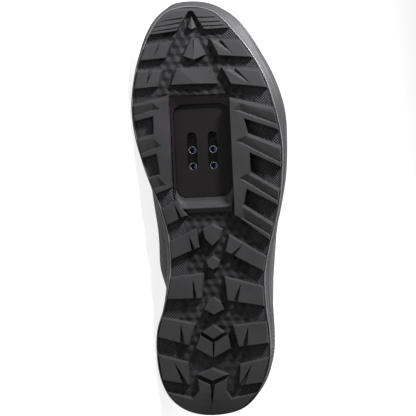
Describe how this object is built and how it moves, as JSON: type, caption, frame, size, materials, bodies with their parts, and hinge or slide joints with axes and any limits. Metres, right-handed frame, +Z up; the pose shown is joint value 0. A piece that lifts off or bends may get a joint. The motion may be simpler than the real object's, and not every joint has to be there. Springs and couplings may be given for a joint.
{
  "type": "cycling shoe",
  "caption": "Left off-road cycling shoe with a lugged rubber sole, a recessed cleat pocket and a laced low upper, lying on its inner side.",
  "frame": {"origin": "the middle of the underside of the object's box, on the floor that the shoe lies on", "axes": "+X along the shoe towards its heel, +Y from the tread towards the collar, +Z up from the inner side to the outer side of the foot"},
  "size_m": [0.2806, 0.1258, 0.1028],
  "materials": {
    "rubber": "matte",
    "midsole": "matte",
    "plate": "satin",
    "steel": "satin",
    "fabric": "matte",
    "overlay": "satin",
    "lining": "matte",
    "lace": "matte"
  },
  "bodies": {
    "root": {"outsole": "rubber", "midsole": "midsole", "cleat_plate": "plate", "nut_plate": "steel", "upper": "fabric", "toe_cap": "overlay", "heel_counter": "overlay", "eyestay_inner": "overlay", "eyestay_outer": "overlay", "tongue": "fabric", "insole": "lining", "lace": "lace", "eyelet_inner_1": "steel", "eyelet_inner_2": "steel", "eyelet_inner_3": "steel", "eyelet_inner_4": "steel", "eyelet_inner_5": "steel", "eyelet_outer_1": "steel", "eyelet_outer_2": "steel", "eyelet_outer_3": "steel", "eyelet_outer_4": "steel", "eyelet_outer_5": "steel"}
  },
  "joints": []
}
